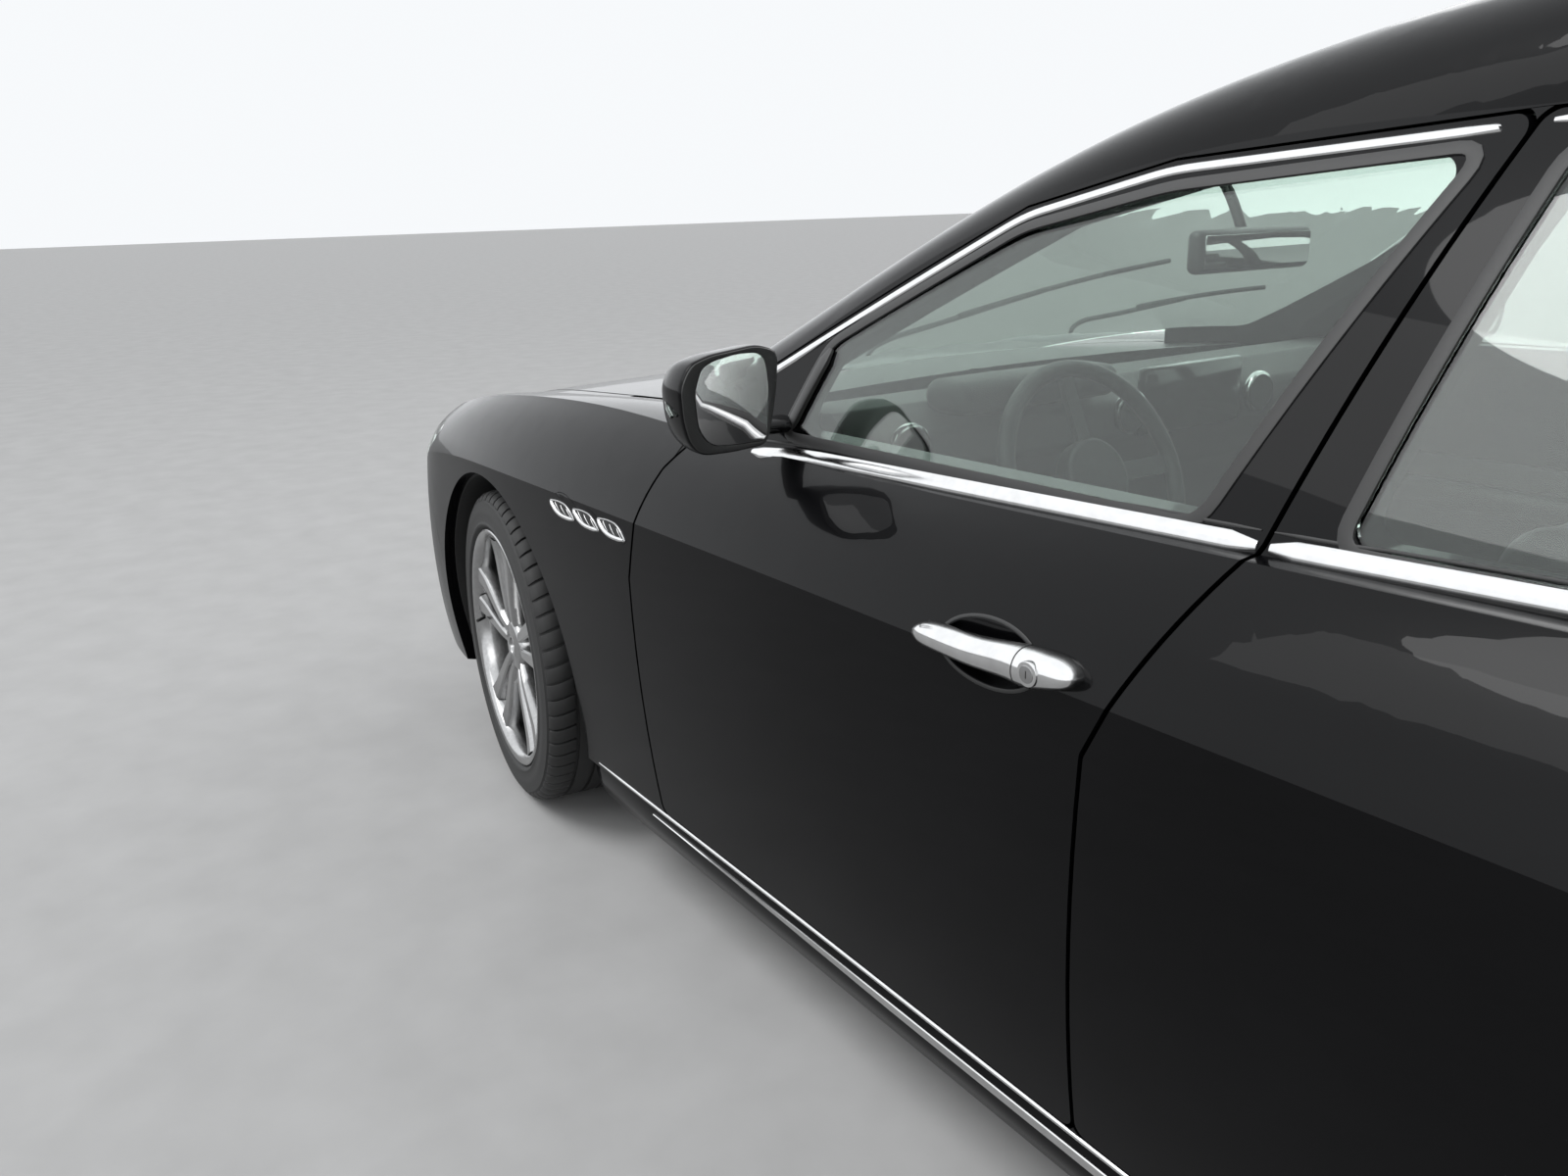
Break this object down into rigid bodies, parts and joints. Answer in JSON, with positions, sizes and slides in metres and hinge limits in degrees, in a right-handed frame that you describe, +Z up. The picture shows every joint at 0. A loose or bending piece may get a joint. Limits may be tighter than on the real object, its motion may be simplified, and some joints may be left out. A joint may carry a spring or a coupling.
{
  "type": "hearse",
  "caption": "Long black hearse with four doors, raised glazed rear over a coffin deck, opening bonnet and tailgate, and steered, turning wheels.",
  "frame": {"origin": "on the ground under the middle of the bounding box", "axes": "+X forward, +Y to the car's left, +Z up"},
  "size_m": [5.93, 2.127, 1.6558],
  "materials": {
    "paint": "high gloss black",
    "glass": "tinted",
    "tyre": "matte",
    "alloy": "satin",
    "iron": "matte",
    "steel": "satin black",
    "bright": "polished",
    "plastic": "matte",
    "lamp": "clear",
    "red_lamp": "gloss",
    "leather": "soft",
    "trim": "soft",
    "wood": "varnished"
  },
  "bodies": {
    "shell": {"side_left": "paint", "side_right": "paint", "cargo_glass": "glass", "roof": "paint", "windscreen": "glass", "headlamps": "lamp", "front_bumper": "paint", "wings": "paint", "cowl": "plastic", "rear_bumper": "paint", "tail_lamps": "red_lamp", "grilles": "bright", "floor_pan": "steel", "front_structure": "steel", "engine": "iron", "wheel_liners": "plastic", "front_suspension": "iron", "rear_suspension": "iron", "driveline": "iron", "dashboard": "plastic", "steering_wheel": "plastic", "front_seats": "leather", "rear_bench": "leather", "cargo_lining": "trim", "coffin_deck": "wood", "deck_rollers": "bright", "exhaust": "steel", "fuel_tank": "steel"},
    "bonnet": {"bonnet": "paint"},
    "tailgate": {"tailgate": "paint", "tailgate_glass": "glass"},
    "front_wheel_left": {"tyre_front_left": "tyre", "rim_front_left": "alloy"},
    "rear_wheel_left": {"tyre_rear_left": "tyre", "rim_rear_left": "alloy"},
    "steering_left": {"knuckle_left": "iron"},
    "front_door_left": {"door_front_left": "paint", "door_glass_front_left": "glass", "handle_front_left": "bright", "mirror_left": "paint"},
    "rear_door_left": {"door_rear_left": "paint", "door_glass_rear_left": "glass", "handle_rear_left": "bright"},
    "front_wheel_right": {"tyre_front_right": "tyre", "rim_front_right": "alloy"},
    "rear_wheel_right": {"tyre_rear_right": "tyre", "rim_rear_right": "alloy"},
    "steering_right": {"knuckle_right": "iron"},
    "front_door_right": {"door_front_right": "paint", "door_glass_front_right": "glass", "handle_front_right": "bright", "mirror_right": "paint"},
    "rear_door_right": {"door_rear_right": "paint", "door_glass_rear_right": "glass", "handle_rear_right": "bright"}
  },
  "joints": [
    {"name": "bonnet_hinge", "type": "hinge", "parent": "shell", "child": "bonnet", "pos_m": [1.515, 0, 0.929], "axis": [0, -1, 0], "range_deg": [0, 60]},
    {"name": "tailgate_hinge", "type": "hinge", "parent": "shell", "child": "tailgate", "pos_m": [-2.6715, 0, 1.566], "axis": [0, 1, 0], "range_deg": [0, 85]},
    {"name": "steer_left", "type": "hinge", "parent": "shell", "child": "steering_left", "pos_m": [2.035, 0.775, 0.352], "axis": [0, 0, 1], "range_deg": [-28, 42]},
    {"name": "spin_front_left", "type": "hinge", "parent": "steering_left", "child": "front_wheel_left", "pos_m": [2.04048, 0.81966, 0.352], "axis": [0.1219, 0.9925, 0], "continuous": true},
    {"name": "spin_rear_left", "type": "hinge", "parent": "shell", "child": "rear_wheel_left", "pos_m": [-1.765, 0.825, 0.352], "axis": [0, 1, 0], "continuous": true},
    {"name": "front_door_left_hinge", "type": "hinge", "parent": "shell", "child": "front_door_left", "pos_m": [1.295, 0.954, 0.6], "axis": [0, 0, -1], "range_deg": [0, 65]},
    {"name": "rear_door_left_hinge", "type": "hinge", "parent": "shell", "child": "rear_door_left", "pos_m": [0.295, 0.954, 0.6], "axis": [0, 0, -1], "range_deg": [0, 65]},
    {"name": "steer_right", "type": "hinge", "parent": "shell", "child": "steering_right", "pos_m": [2.035, -0.775, 0.352], "axis": [0, 0, 1], "range_deg": [-28, 42]},
    {"name": "spin_front_right", "type": "hinge", "parent": "steering_right", "child": "front_wheel_right", "pos_m": [2.02952, -0.81966, 0.352], "axis": [0.1219, 0.9925, 0], "continuous": true},
    {"name": "spin_rear_right", "type": "hinge", "parent": "shell", "child": "rear_wheel_right", "pos_m": [-1.765, -0.825, 0.352], "axis": [0, 1, 0], "continuous": true},
    {"name": "front_door_right_hinge", "type": "hinge", "parent": "shell", "child": "front_door_right", "pos_m": [1.295, -0.954, 0.6], "axis": [0, 0, 1], "range_deg": [0, 65]},
    {"name": "rear_door_right_hinge", "type": "hinge", "parent": "shell", "child": "rear_door_right", "pos_m": [0.295, -0.954, 0.6], "axis": [0, 0, 1], "range_deg": [0, 65]}
  ],
  "couplings": [
    {"joint": "steer_right", "follows": "steer_left", "ratio": 1}
  ]
}
